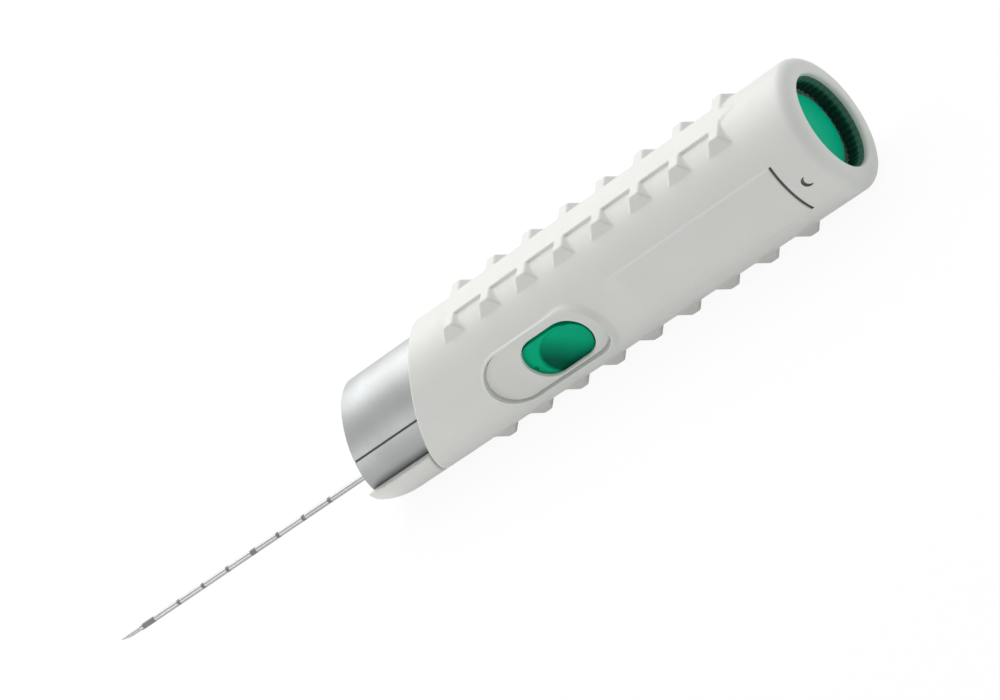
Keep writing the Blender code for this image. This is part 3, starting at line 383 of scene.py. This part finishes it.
corners = [(x, y, z) for x in POCKET[0] for y in POCKET[1] for z in POCKET[2]]
cut(barrel, corners, [(0, 1, 3, 2), (4, 6, 7, 5), (0, 4, 5, 1), (2, 3, 7, 6), (0, 2, 6, 4), (1, 5, 7, 3)])
middle, half_length, half_width = RECESS
levels = [(CLEAR_Y, RECESS_WALL), (RECESS_TAPER_Y, RECESS_WALL * 0.4), (FOOT_DEPTH - RECESS_FLOOR, 0.0)]
levels += [(FOOT_DEPTH - RECESS_FLOOR, -FOOT_WIDTH), (-RECESS_FLOOR, -FOOT_WIDTH - FOOT_TAPER)]
blocks = [slot_outline(y, RECESS_Z, middle, half_length + w, half_width + w) for y, w in levels]
for block in blocks[1:]:
    block[:, 1] -= RAMP * np.maximum(middle - half_length + half_width - block[:, 0], 0.0)
points, faces = stacked(blocks)
floor_loop = faces.pop()
half = len(floor_loop) // 2
faces += [floor_loop[:half], floor_loop[half:] + [floor_loop[0], floor_loop[half - 1]]]
cut(barrel, points, faces)
middle, half_length, half_width = WINDOW
levels = [(CLEAR_Y, 0.3), *[(depth - RECESS_FLOOR, w) for depth, w in WINDOW_EDGE], (WINDOW_CUT_TO_Y, 0.0)]
blocks = [slot_outline(y, WINDOW_Z, middle, half_length + w, half_width + w) for y, w in levels]
cut(barrel, *stacked(blocks))

# Groove and thumbnail mark: the pad's rear edge is a narrow moulded groove that follows the round of the
# grip. The small mark behind it is a sunk crescent, cut between two circles. The faces cut into both are
# coloured dark grey as painted shade.
GROOVE_X = (PAD_END_X, PAD_END_X + 0.62)
GROOVE_FLOOR = 16.75
MARK_X = REAR_X - 7.0
MARK_CIRCLES = (1.45, 1.3, 0.85)
MARK_TURN = 15.0
MARK_FLOOR = -16.6
MARK_CLEAR_Y = -19.0

painted_groove_shade = moulded_plastic(
    "painted_groove_shade", (0.24, 0.245, 0.215), 0.6, 0.00022, 0.000012, 0.05, specular=0.2
)
across = np.arcsin(np.linspace(-PAD_HALF_WIDTH, PAD_HALF_WIDTH, 25) / GRIP_R)
blocks = []
for radius in (GRIP_R + 1.0, GROOVE_FLOOR):
    there = from_axis(GROOVE_X[1], radius, across)
    blocks.append(np.concatenate([there, from_axis(GROOVE_X[0], radius, across)[::-1]]))
cut(barrel, *stacked(blocks), [painted_groove_shade])
outer, inner, shift = MARK_CIRCLES
spread = math.acos((inner**2 - outer**2 - shift**2) / (-2.0 * outer * shift))
back = math.acos((outer**2 - inner**2 - shift**2) / (2.0 * inner * shift))
toward_mark = math.radians(MARK_TURN)
sweep = np.linspace(spread, 2.0 * math.pi - spread, 19) + toward_mark
outline = [(outer * math.cos(a), outer * math.sin(a)) for a in sweep]
sweep = np.linspace(2.0 * math.pi - back, back, 19)[1:-1] + toward_mark
centre = (shift * math.cos(toward_mark), shift * math.sin(toward_mark))
outline += [(centre[0] + inner * math.cos(a), centre[1] + inner * math.sin(a)) for a in sweep]
blocks = [np.array([(MARK_X + a, y, b) for a, b in outline]) for y in (MARK_CLEAR_Y, MARK_FLOOR)]
cut(barrel, *stacked(blocks), [painted_groove_shade])
barrel.data.shade_smooth()
barrel.data.set_sharp_from_angle(angle=math.radians(50.0))
fixed_to(barrel, "housing", "white_moulding", "grip_barrel")

# Rear liner: a toothed ring, moulded and pressed into an undercut behind the rear lip. Its dark green is painted
# shade, so its teeth show as a shadowed, ribbed band round the end button, with a ring of lighter green as
# painted light where the teeth fade out. Its plain flange lines the throat of the lip in a mid green, painted as
# the reflection of the green button.
LINER_X = (146.9, 149.9)
LINER_R = 12.95
LINER_TEETH = 44
RIB_R = 11.75
RIB_HEIGHT = 0.3
RIB_FADE = 0.7
RIB_FADE_R = 11.5
FLANGE_X = 151.2
FLANGE_R = (11.95, 12.1)
# A dark green as painted shade, a lighter green as painted light, and a mid green as the flange's painted
# reflection.
LINER_PAINTED_GREENS = {
    "liner_painted_shade": (0.006, 0.045, 0.03),
    "liner_painted_light": (0.01, 0.08, 0.055),
    "flange_painted_reflection": (0.06, 0.16, 0.12),
}

liner_painted_greens = [
    moulded_plastic(name, colour, 0.45, 0.0002, 0.00001, 0.1, specular=0.3)
    for name, colour in LINER_PAINTED_GREENS.items()
]
turn = np.radians(graded(0, (360, LINER_TEETH * 6))[:-1])
wave = np.sin(LINER_TEETH * turn)
ribs = RIB_R + RIB_HEIGHT * np.sign(wave) * np.abs(wave) ** 0.4
rings = [(LINER_X[0], ribs), (LINER_X[1] - RIB_FADE, ribs), (LINER_X[1], 0.5 * ribs + 0.5 * RIB_FADE_R)]
rings += [(x, np.full_like(turn, radius)) for x, radius in (
    (FLANGE_X, FLANGE_R[0]), (FLANGE_X, FLANGE_R[1]), (LINER_X[1], FLANGE_R[1]),
    (LINER_X[1], LINER_R), (LINER_X[0], LINER_R),
)]
points = np.concatenate([from_axis(x, radius, turn) for x, radius in rings])
faces = ring_faces(len(rings), len(turn))[:, ::-1]
chosen = np.repeat([0, 1, 2, 2, 2, 0, 0, 0], len(turn))
liner = add_mesh("rear_liner", points, faces, liner_painted_greens, chosen, sharp=35.0)
fixed_to(liner, "housing", "green_moulding")

# Nose cradle and needle bush: the fixed white shoe under the sleeve, moulded with the web and the plug that
# hold a turned steel bush for the needle.
CRADLE_ROUND_X = 4.3
CRADLE_ROUND_LENGTH = 12.2
CRADLE_ROUND_DEPTH = 6.0


def softened(name, node, voxel, passes):
    """A moulded copy of a solid, with its edges rounded over about a voxel, in millimetres."""
    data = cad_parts[node].data.copy()
    data.materials.clear()
    item = bpy.data.objects.new(name, data)
    bpy.context.scene.collection.objects.link(item)
    remesh = item.modifiers.new("even", "REMESH")
    remesh.mode = "VOXEL"
    remesh.voxel_size = voxel * 0.001
    remesh.use_smooth_shade = True
    soften = item.modifiers.new("soften", "SMOOTH")
    soften.factor = 0.5
    soften.iterations = passes
    settle(item)
    return item


def trued(item, surfaces, finish, reach=0.06):
    """Draws points near a turned surface, given as a radius at each place along the axis, onto it."""
    data = item.data
    places = np.zeros(len(data.vertices) * 3)
    data.vertices.foreach_get("co", places)
    places = places.reshape(-1, 3) * 1000.0 - (-NOSE_TO_MIDDLE, 0.0, AXIS_HEIGHT)
    radius = np.hypot(places[:, 1], places[:, 2])
    for surface in surfaces:
        wanted = surface(places[:, 0])
        near = np.abs(radius - wanted) < reach
        places[near, 1:] *= (wanted[near] / radius[near])[:, None]
        radius = np.hypot(places[:, 1], places[:, 2])
    data.vertices.foreach_set("co", ((places + (-NOSE_TO_MIDDLE, 0.0, AXIS_HEIGHT)) * 0.001).ravel())
    data.materials.append(finish)
    data.shade_smooth()
    data.update()


def cradle_outside(x):
    """The cradle's outer radius: round at the nose and running into the grip."""
    sine = np.clip((CRADLE_ROUND_X - x) / CRADLE_ROUND_LENGTH, 0.0, 1.0)
    return GRIP_R - CRADLE_ROUND_DEPTH * (1.0 - np.sqrt(1.0 - sine * sine))


cradle = softened("nose_cradle_moulding", "nose_cradle", 0.3, 3)
trued(cradle, [cradle_outside, lambda x: np.full_like(x, FRONT_BORE_R)], warm_white)
fixed_to(cradle, "housing", "white_moulding", "nose_cradle")


def brushed_metal(name, colour, roughness, grain, relief, along=1.0, across=1.0):
    """A worked metal: fine lines from turning or drawing, with small changes of colour and shine."""
    finish, nodes, links, shader, where = new_finish(name)
    shader.inputs["Metallic"].default_value = 1.0
    stretch = nodes.new("ShaderNodeMapping")
    stretch.inputs["Scale"].default_value = (along, across, across)
    links.new(where, stretch.inputs["Vector"])
    lines = clouded(nodes, links, stretch.outputs["Vector"], 1.0 / grain, 3.0)
    clouds = clouded(nodes, links, where, 90.0, 2.0)
    worked(nodes, links, shader, colour, (0.94, 1.05), clouds, roughness, 0.04, lines, relief, lines)
    return finish


def dress(finish, *names):
    """Gives solids that keep their own shape their finish."""
    for name in names:
        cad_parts[name].material_slots[0].material = finish


bright_steel = brushed_metal("bright_steel", (0.56, 0.57, 0.58), 0.3, 0.0003, 0.000002, along=0.1)
dress(bright_steel, "needle_bush")

# Nose sleeve and its parts: a satin aluminium tube that is turned by hand to cock the springs, with a fine
# groove along it whose faces are coloured near-black. A moulded cam ring, a thrust ring and a light return
# spring sit inside it.
SLEEVE_R = 14.85
SLEEVE_BORE_R = 13.65
SLEEVE_REAR_X = 42.5
SLEEVE_PLAIN_X = 12.0
SLEEVE_SLANT = 0.349
SLEEVE_EDGE = ((0.25, 0.0), (0.07, 0.07), (0.0, 0.25))
SLEEVE_CHAMFER = 0.15
JOINT_TURN = 16.5
JOINT_HALF_WIDTH = 1.1
JOINT_FOOT = 0.8
JOINT_DEPTH = 0.35

satin_aluminium = brushed_metal(
    "satin_aluminium", (0.41, 0.42, 0.42), 0.52, 0.00025, 0.0000015, across=0.12
)
near_black_groove = moulded_plastic("near_black_groove_line", (0.10, 0.115, 0.11), 0.6, 0.0002, 0.00001, 0.1)

degrees = graded(JOINT_TURN + JOINT_HALF_WIDTH, (JOINT_TURN + 360 - JOINT_HALF_WIDTH, 179))
foot = JOINT_HALF_WIDTH * JOINT_FOOT
turn = np.radians(np.concatenate([degrees, [JOINT_TURN - foot, JOINT_TURN + foot]]))
outside = np.full_like(turn, SLEEVE_R)
outside[-2:] = SLEEVE_R - JOINT_DEPTH
inside = np.full_like(turn, SLEEVE_BORE_R)
rings = []
for drop, back in SLEEVE_EDGE:
    radius = outside - drop
    rings.append((SLEEVE_SLANT * radius * np.sin(turn) + back, radius))
rings += [(SLEEVE_PLAIN_X, outside), (SLEEVE_REAR_X, outside), (SLEEVE_REAR_X, inside), (SLEEVE_PLAIN_X, inside)]
rings.append((SLEEVE_SLANT * inside * np.sin(turn) + SLEEVE_CHAMFER, inside))
rings.append((SLEEVE_SLANT * (inside + SLEEVE_CHAMFER) * np.sin(turn), inside + SLEEVE_CHAMFER))
points = np.concatenate([from_axis(x, radius, turn) for x, radius in rings])
chosen = np.zeros((len(rings), len(turn)), int)
chosen[:4, -3:] = 1
sleeve = add_mesh(
    "nose_sleeve_tube", points, ring_faces(len(rings), len(turn)), [satin_aluminium, near_black_groove],
    chosen.ravel(), sharp=40.0,
)
fixed_to(sleeve, "cocking_sleeve", "satin_aluminium", "nose_sleeve")

grey_plastic = moulded_plastic("grey_moulding", (0.36, 0.37, 0.38), 0.5, 0.0003, 0.000012, 0.05)
dress(grey_plastic, "sleeve_thrust_ring", "cam_ring")


def coil_spring(name, node, radius, wire, turns, limits, steps, y=0.0, z=0.0, sides=8):
    """A wound spring with closed end turns, in place of its plain solid."""
    along = np.linspace(0.0, turns, int(turns * steps) + 1)
    end_pitch = 2.2 * wire
    closed_front = end_pitch * np.minimum(along, 1.0)
    closed_rear = end_pitch * np.minimum(turns - along, 1.0)
    open_share = np.clip((along - 0.75) / (turns - 1.5), 0.0, 1.0)
    open_length = limits[1] - limits[0] - 2.0 * end_pitch
    x = limits[0] + closed_front + open_length * open_share + end_pitch - closed_rear
    around = 2.0 * math.pi * along
    middle = np.stack([x, y + radius * np.cos(around), z + radius * np.sin(around)], -1)
    outward = np.stack([np.zeros_like(x), np.cos(around), np.sin(around)], -1)
    ahead = np.gradient(middle, axis=0)
    ahead /= np.linalg.norm(ahead, axis=1)[:, None]
    aside = np.cross(ahead, outward)
    section = np.radians(graded(0, (360, sides))[:-1])[None, :, None]
    points = middle[:, None] + wire * (np.cos(section) * outward[:, None] + np.sin(section) * aside[:, None])
    count = len(x)
    faces = [list(face) for face in ring_faces(count, sides, closed=False)[:, ::-1]]
    faces += [list(range(sides))[::-1], list(range((count - 1) * sides, count * sides))]
    spring = add_mesh(name, points.reshape(-1, 3), faces, [spring_wire])
    return fixed_to(spring, "housing", "spring_wire", node)


spring_wire = brushed_metal("drawn_spring_wire", (0.40, 0.40, 0.41), 0.28, 0.0002, 0.000002, across=0.3)
coil_spring("sleeve_return_coil", "sleeve_return_spring", 12.2, 0.4, 3.0, (8.6, 11.9), steps=48)

# Needle: a stainless cannula with its depth marks etched in at each centimetre and a dark band behind its
# cut end, round a solid stylet that is ground to a point and notched for the sample.
NEEDLE_Z = -8.4
TIP_X = -108.7
CANNULA_R = 0.82
CANNULA_BORE_R = 0.67
CANNULA_END_X = TIP_X + 8.2
CANNULA_EDGE = 0.04
CANNULA_REAR_X = 59.0
END_BAND = (9.25, 14.2)
FIRST_MARK = (23.8, 25.0)
WIDE_MARK = (53.6, 55.8)
MARK_PITCH = 10.0

needle_steel = brushed_metal("needle_steel", (0.43, 0.435, 0.44), 0.4, 0.0004, 0.0000002, across=0.15)
etched = moulded_plastic("etched_mark", (0.20, 0.20, 0.19), 0.55, 0.00015, 0.000006, 0.15)
turn = np.radians(graded(0, (360, 32))[:-1])
marks = [(FIRST_MARK[0] + MARK_PITCH * k, FIRST_MARK[1] + MARK_PITCH * k) for k in (0, 1, 2, 4, 5, 6)]
rear_of_edge = CANNULA_END_X + CANNULA_EDGE
profile = [(CANNULA_END_X, CANNULA_R - CANNULA_EDGE, 0), (rear_of_edge, CANNULA_R, 0)]
for start, stop in sorted([END_BAND, WIDE_MARK, *marks]):
    profile += [(TIP_X + start, CANNULA_R, 1), (TIP_X + stop, CANNULA_R, 0)]
profile += [(40.0, CANNULA_R, 0), (CANNULA_REAR_X, CANNULA_R, 0), (CANNULA_REAR_X, CANNULA_BORE_R, 0)]
profile += [(rear_of_edge, CANNULA_BORE_R, 0), (CANNULA_END_X, CANNULA_BORE_R + CANNULA_EDGE, 0)]
points = np.concatenate([from_axis(x, radius, turn) for x, radius, _ in profile]) + (0.0, 0.0, NEEDLE_Z)
chosen = np.repeat([mark for _, _, mark in profile], len(turn))
cannula = add_mesh(
    "cannula_with_marks", points, ring_faces(len(profile), len(turn)), [needle_steel, etched], chosen, sharp=40.0
)
fixed_to(cannula, "cannula", "needle_steel", "cannula_tube")
dress(needle_steel, "stylet")

# Chassis: a grey half-tube moulding with two bulkheads, which carries two ground guide rods and the pressed
# steel plate that the latches hook behind. Black rubber rings on the rods stop the carriages.
pressed_steel = brushed_metal("pressed_steel", (0.50, 0.51, 0.52), 0.36, 0.0004, 0.000003, across=0.2)
rubber = moulded_plastic("black_rubber", (0.012, 0.012, 0.012), 0.72, 0.00025, 0.000015, 0.2, specular=0.3)
dress(grey_plastic, "chassis_frame")
dress(bright_steel, "guide_rod_left", "guide_rod_right")
dress(pressed_steel, "latch_plate")
dress(rubber, "cannula_stop_ring", "stylet_stop_ring")

# Drive: two moulded carriages, each with a green hub that grips its needle, a sprung steel latch arm and a
# drive spring of round wire that runs back to the rear bulkhead.
SPRING_SEAT_X = 130.2
DRIVE_COIL_R = 2.6
DRIVE_WIRE = 0.4
ROD_Y = 6.3
ROD_Z = -1.0


def moulded_green(name, colour, roughness=0.42):
    """A satin green plastic."""
    return moulded_plastic(name, colour, roughness, 0.00025, 0.000008, 0.03, specular=0.05)


green_plastic = moulded_green("green_moulding", (0.0, 0.43, 0.22))
dress(grey_plastic, "cannula_carriage", "stylet_carriage")
dress(green_plastic, "cannula_hub", "stylet_hub")
dress(pressed_steel, "cannula_latch", "stylet_latch")
for name, node, joint, start, y, turns in (
    ("cannula_drive_coil", "cannula_spring", "cannula_slide", 60.7, ROD_Y, 17),
    ("stylet_drive_coil", "stylet_spring", "stylet_slide", 92.6, -ROD_Y, 11),
):
    limits = (start, SPRING_SEAT_X)
    spring = coil_spring(name, node, DRIVE_COIL_R, DRIVE_WIRE, turns, limits, steps=20, y=y, z=ROD_Z)
    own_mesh(spring)

# Cocking pusher: a grey moulded bar with a follower pin that runs in the cam's slot. Two sprung pawls of
# pressed steel are fixed under it.
dress(grey_plastic, "cocking_pusher")
dress(pressed_steel, "front_pawl", "rear_pawl")

# Trigger: the round end button and the dished thumb button are green mouldings, joined by a grey bar with a
# steel blade that trips the latches. A light spring in the guide ring brings the buttons back. The end button
# is a lighter green, as painted light. The thumb button has a sunk crescent along the window's edge, coloured
# dark green as painted shade, a gate mark, and a dish with painted shade that darkens it low at its front.
END_BUTTON_R = 10.1
THUMB_X = (55.7, 81.0)
THUMB_Y = (-13.5, -11.6)
THUMB_HALF_WIDTH = 6.9
THUMB_ROUND = 0.35
THUMB_LEAST = 0.15
DISH_X = 68.6
DISH_Z = -3.7
DISH_HALF_LENGTH = 8.5
DISH_HALF_WIDTH = 6.8
DISH_DEPTH = 1.65
WELL_DEPTH = 1.6
WELL_SHIFT = (1.8, 1.2)
GATE_MARK = (57.6, -3.0)
GATE_MARK_DEPTH = 0.7
GATE_MARK_R = (0.4, 0.7)
SCOOP_PAINTED_SHADE = (0.0, 0.11, 0.065)
SCOOP_EDGE = (0.94, 1.0)
SCOOP_FALL = (0.8, 0.0, 0.6)
SCOOP_FADE = (-0.0055, 0.002)
BUTTON_SPRING_X = (136.35, 142.75)

# The end button's green is lighter than the other green mouldings, as painted light.
painted_light_green = moulded_green("end_button_painted_light", (0.0, 0.53, 0.29))
button = softened("end_button_cup", "end_button", 0.26, 3)
trued(button, [lambda x: np.full_like(x, END_BUTTON_R)], painted_light_green)
fixed_to(button, "trigger", "green_moulding", "end_button")

dish_green_and_painted_shade = moulded_green("dish_green_and_painted_shade", (0.0, 0.43, 0.22))
nodes, links = dish_green_and_painted_shade.node_tree.nodes, dish_green_and_painted_shade.node_tree.links


def reckoned(operation, first, second=None):
    """A step of vector arithmetic in the dish's finish."""
    step = nodes.new("ShaderNodeVectorMath")
    step.operation = operation
    links.new(first, step.inputs[0])
    if second is not None:
        step.inputs[1].default_value = second
    return step.outputs


# Painted shade: inside its rim, the dish's green darkens toward its lower front.
where = nodes.new("ShaderNodeTexCoord").outputs["Object"]
dish_middle = ((DISH_X - NOSE_TO_MIDDLE) * 0.001, 0.0, (DISH_Z + AXIS_HEIGHT) * 0.001)
from_middle = reckoned("SUBTRACT", where, dish_middle)["Vector"]
scale = (1000.0 / DISH_HALF_LENGTH, 0.0, 1000.0 / DISH_HALF_WIDTH)
reach = reckoned("LENGTH", reckoned("MULTIPLY", from_middle, scale)["Vector"])["Value"]
fall = reckoned("DOT_PRODUCT", from_middle, SCOOP_FALL)["Value"]
painted_shade_share = nodes.new("ShaderNodeMath")
painted_shade_share.operation = "MULTIPLY"
links.new(ranged(nodes, links, reach, SCOOP_EDGE, (1.0, 0.0)), painted_shade_share.inputs[0])
links.new(ranged(nodes, links, fall, SCOOP_FADE, (1.0, 0.0)), painted_shade_share.inputs[1])
painted_shade_mix = nodes.new("ShaderNodeMix")
painted_shade_mix.data_type = "RGBA"
painted_shade_mix.inputs[7].default_value = (*SCOOP_PAINTED_SHADE, 1.0)
base_colour = nodes["Principled BSDF"].inputs["Base Color"]
links.new(painted_shade_share.outputs[0], painted_shade_mix.inputs[0])
links.new(base_colour.links[0].from_socket, painted_shade_mix.inputs[6])
links.new(painted_shade_mix.outputs[2], base_colour)

edge = THUMB_HALF_WIDTH - THUMB_ROUND
along = graded(THUMB_X[0], (THUMB_X[0] + THUMB_ROUND, 3), (THUMB_X[1] - THUMB_ROUND, 118), (THUMB_X[1], 3))
across = graded(-THUMB_HALF_WIDTH, (-edge, 3), (edge, 66), (THUMB_HALF_WIDTH, 3))
x, z = np.meshgrid(along, across + WINDOW_Z, indexing="ij")
spread = np.hypot((x - DISH_X) / DISH_HALF_LENGTH, (z - DISH_Z) / DISH_HALF_WIDTH)
scoop = DISH_DEPTH * np.sqrt(np.clip(1.0 - spread**2, 0.0, 1.0))
well = WELL_DEPTH * ease(-0.1, 0.2, beyond_slot(x + WELL_SHIFT[0], z - WINDOW_Z + WELL_SHIFT[1], *WINDOW))
mark = GATE_MARK_DEPTH * (1.0 - ease(*GATE_MARK_R, np.hypot(x - GATE_MARK[0], z - GATE_MARK[1])))
border = np.minimum(np.minimum(x - THUMB_X[0], THUMB_X[1] - x), THUMB_HALF_WIDTH - np.abs(z - WINDOW_Z))
inset = np.clip(THUMB_ROUND - border, 0.0, THUMB_ROUND)
rounding = THUMB_ROUND - np.sqrt(np.clip(THUMB_ROUND**2 - inset**2, 0.0, None))
top = np.minimum(THUMB_Y[0] + np.maximum(scoop, well) + mark + rounding, THUMB_Y[1] - THUMB_LEAST)
rows, columns = top.shape
layers = [np.stack([x, y, z], -1).reshape(-1, 3) for y in (top, np.full_like(top, THUMB_Y[1]))]
faces = []
index = np.arange(rows * columns).reshape(rows, columns)
for layer, order in ((0, 1), (rows * columns, -1)):
    number = index + layer
    quads = np.stack([number[:-1, :-1], number[1:, :-1], number[1:, 1:], number[:-1, 1:]], -1).reshape(-1, 4)
    faces += [list(face)[::order] for face in quads]
loop = list(index[:, 0]) + list(index[-1, 1:]) + list(index[-2::-1, -1]) + list(index[0, -2:0:-1])
for a, b in zip(loop, loop[1:] + loop[:1]):
    faces.append([b, a, a + rows * columns, b + rows * columns])
# Faces deep in the crescent well are coloured dark green as painted shade.
painted_well_faces = well[:-1, :-1] > 0.5 * WELL_DEPTH
chosen = np.zeros(len(faces), int)
chosen[:painted_well_faces.size] = painted_well_faces.ravel()
well_painted_shade = moulded_green("well_painted_shade", (0.0, 0.12, 0.06), 0.5)
thumb = add_mesh(
    "thumb_button_plate", np.concatenate(layers), faces, [dish_green_and_painted_shade, well_painted_shade], chosen, sharp=40.0
)
fixed_to(thumb, "trigger", "green_moulding", "thumb_button")

dress(grey_plastic, "trigger_bar", "button_guide_ring")
dress(pressed_steel, "release_blade")
coil = coil_spring("trigger_return_coil", "trigger_spring", 10.75, 0.35, 3.5, BUTTON_SPRING_X, steps=72)
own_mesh(coil)

# Studio: a plain pale floor that the lower tread rests on, a bright white room, one large soft lamp above
# and behind the needle end, and a weak one low in front of the nose.
AMBIENT = 0.53
FLOOR_GREY = 0.93
FLOOR_HALF = 6.0
FLOOR_Z = -0.0001
GRIP_MIDDLE = (0.06, 0.0, 0.0175)


def white_when_seen(material_or_world, lit_shader, share, shine):
    """Mixes in plain white, by that share, where the camera, a gloss or clear plastic looks at it."""
    nodes, links = material_or_world.node_tree.nodes, material_or_world.node_tree.links
    rays = nodes.new("ShaderNodeLightPath")
    white = nodes.new("ShaderNodeEmission" if shine else "ShaderNodeBackground")
    white.inputs["Strength"].default_value = 1.0
    seen = rays.outputs["Is Camera Ray"]
    for kind in ("Is Glossy Ray", "Is Transmission Ray"):
        either = nodes.new("ShaderNodeMath")
        either.operation = "MAXIMUM"
        links.new(seen, either.inputs[0])
        links.new(rays.outputs[kind], either.inputs[1])
        seen = either.outputs[0]
    part = nodes.new("ShaderNodeMath")
    part.operation = "MULTIPLY"
    part.inputs[1].default_value = share
    blend = nodes.new("ShaderNodeMixShader")
    links.new(seen, part.inputs[0])
    links.new(part.outputs[0], blend.inputs[0])
    links.new(lit_shader.outputs[0], blend.inputs[1])
    links.new(white.outputs[0], blend.inputs[2])
    output = nodes["Material Output" if shine else "World Output"]
    links.new(blend.outputs[0], output.inputs["Surface"])


room = bpy.data.worlds.new("studio")
room.use_nodes = True
ambient = room.node_tree.nodes["Background"]
ambient.inputs["Color"].default_value = (1.0, 1.0, 1.0, 1.0)
ambient.inputs["Strength"].default_value = AMBIENT
white_when_seen(room, ambient, 1.0, False)
bpy.context.scene.world = room

pale = bpy.data.materials.new("pale_floor")
pale.use_nodes = True
matt = pale.node_tree.nodes["Principled BSDF"]
matt.inputs["Base Color"].default_value = (FLOOR_GREY, FLOOR_GREY, FLOOR_GREY, 1.0)
matt.inputs["Roughness"].default_value = 0.9
white_when_seen(pale, matt, FLOOR_GREY, True)
floor_data = bpy.data.meshes.new("floor")
corners = [(a * FLOOR_HALF, b * FLOOR_HALF, FLOOR_Z) for a, b in ((-1, -1), (1, -1), (1, 1), (-1, 1))]
floor_data.from_pydata(corners, [], [(0, 1, 2, 3)])
floor_data.materials.append(pale)
floor = bpy.data.objects.new("floor", floor_data)
bpy.context.scene.collection.objects.link(floor)

for name, toward, distance, size, power in (
    ("key_softbox", (-0.3, 0.5, 0.81), 1.1, 1.3, 12.0),
    ("nose_softbox", (-0.75, -0.65, 0.14), 1.2, 0.3, 1.7),
):
    lamp = bpy.data.lights.new(name, "AREA")
    lamp.shape = "SQUARE"
    lamp.size = size
    lamp.energy = power
    softbox = bpy.data.objects.new(name, lamp)
    softbox.location = np.array(GRIP_MIDDLE) + distance * np.array(toward)
    softbox.rotation_euler = Vector(toward).to_track_quat("Z", "Y").to_euler()
    bpy.context.scene.collection.objects.link(softbox)

bpy.context.scene.view_settings.view_transform = "Standard"
